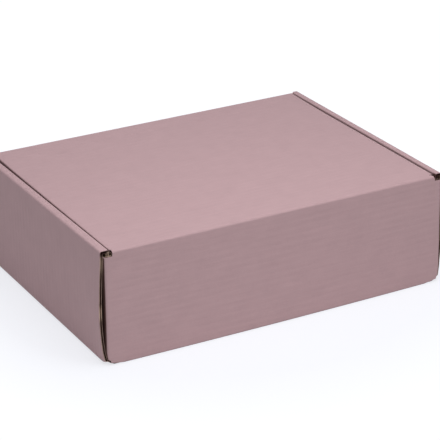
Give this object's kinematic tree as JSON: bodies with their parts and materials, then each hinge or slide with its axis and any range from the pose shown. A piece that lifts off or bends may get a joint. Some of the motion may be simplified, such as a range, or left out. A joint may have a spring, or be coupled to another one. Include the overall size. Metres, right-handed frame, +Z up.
{
  "type": "closed cardboard mailer box",
  "caption": "Self-locking corrugated mailer box with rolled-over side walls and a hinged tuck-in lid.",
  "frame": {"origin": "centre of the footprint, on the surface the box stands on", "axes": "+Z up, +X along the long direction, +Y towards the back wall that carries the lid's crease"},
  "size_m": [0.32, 0.241, 0.099],
  "materials": {
    "printed_board": "matte, dusty pink outer liner over plain brown corrugated board"
  },
  "bodies": {
    "tray": {"tray": "printed_board"},
    "lid": {"lid": "printed_board"}
  },
  "joints": [
    {"name": "lid_hinge", "type": "hinge", "parent": "tray", "child": "lid", "pos_m": [0, 0.12019, 0.09818], "axis": [-1, 0, 0], "range_deg": [0, 178]}
  ]
}
